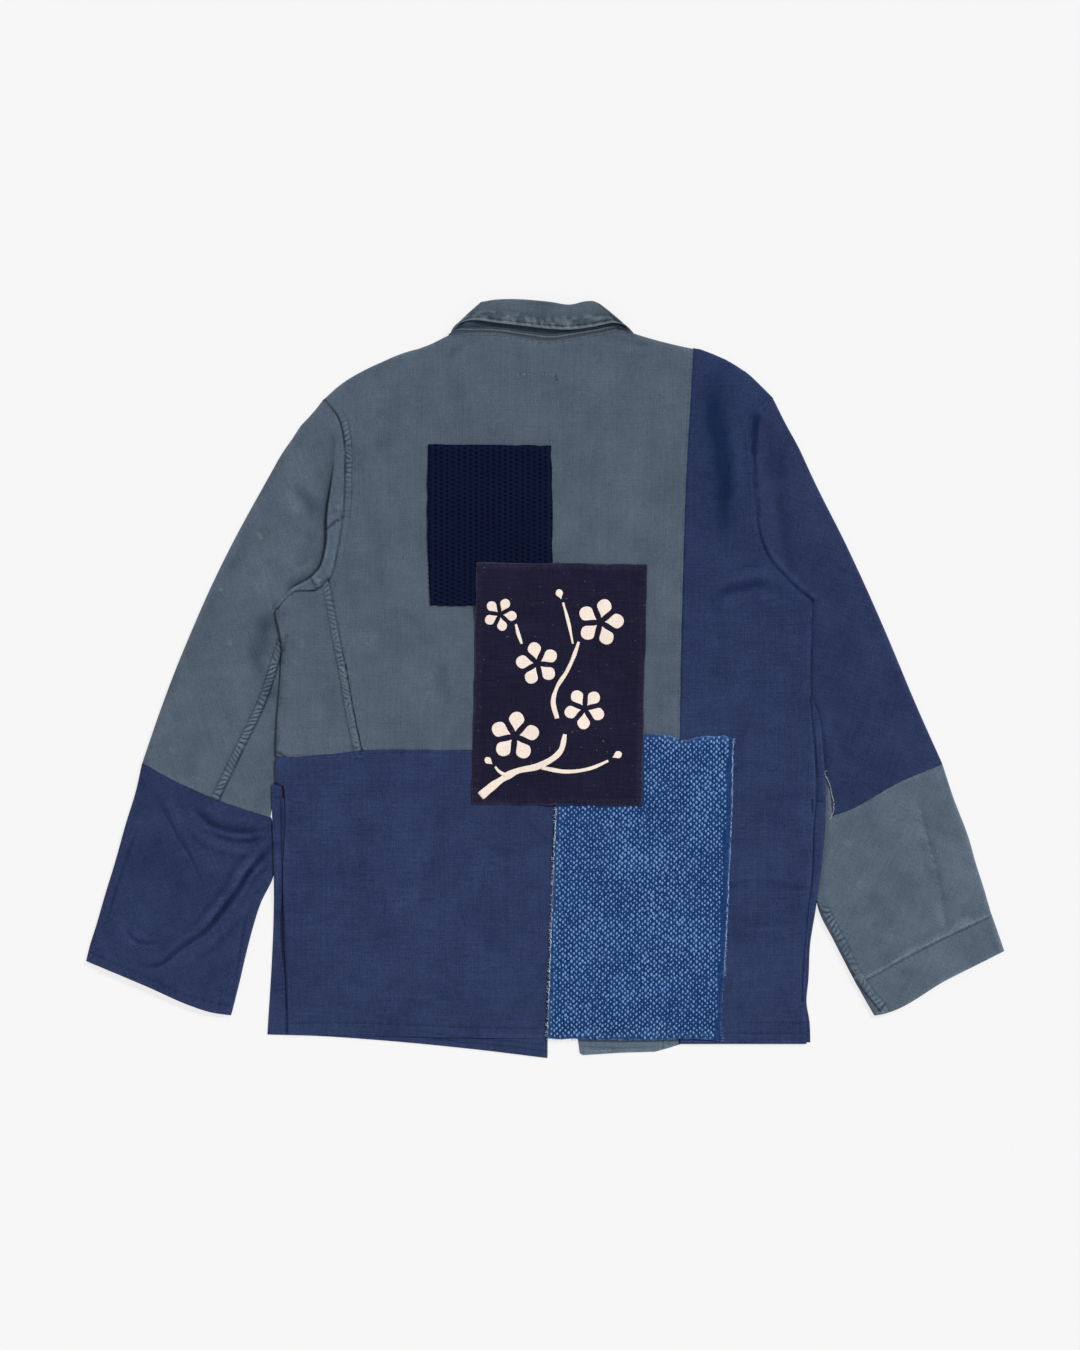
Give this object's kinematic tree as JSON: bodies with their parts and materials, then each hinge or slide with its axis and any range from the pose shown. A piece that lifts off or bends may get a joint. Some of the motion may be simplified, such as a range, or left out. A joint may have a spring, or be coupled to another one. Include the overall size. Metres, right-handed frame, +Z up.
{
  "type": "patched boro work jacket laid flat",
  "caption": "Patched indigo work jacket laid flat on its front with its back up, sleeves spread, collar folded over, with sewn cloth patches on the back.",
  "frame": {"origin": "on the surface that the jacket lies on, under the middle of its outline", "axes": "+X across the back to the right of the view, +Y up the back towards the collar, +Z up from the surface"},
  "size_m": [0.9352, 0.7726, 0.0111],
  "materials": {
    "grey_green_cotton": "washed, worn plain cotton",
    "navy_cotton": "washed plain cotton",
    "dark_knit": "open dark knit",
    "dark_indigo": "matte dark cotton with a pale print",
    "sashiko_blue": "slubby woven cotton with pale stitches and frayed edges"
  },
  "bodies": {
    "root": {"back_upper": "grey_green_cotton", "back_lower_left": "navy_cotton", "back_right": "navy_cotton", "front_left_upper": "grey_green_cotton", "front_left_lower": "navy_cotton", "front_right_side": "navy_cotton", "front_right": "grey_green_cotton", "sleeve_left_upper": "grey_green_cotton", "sleeve_left_lower": "navy_cotton", "sleeve_right_upper": "navy_cotton", "sleeve_right_lower": "grey_green_cotton", "sleeve_right_cuff": "grey_green_cotton", "collar_stand": "grey_green_cotton", "collar_fall": "grey_green_cotton", "patch_knit": "dark_knit", "patch_indigo": "dark_indigo", "patch_sashiko": "sashiko_blue"}
  },
  "joints": []
}
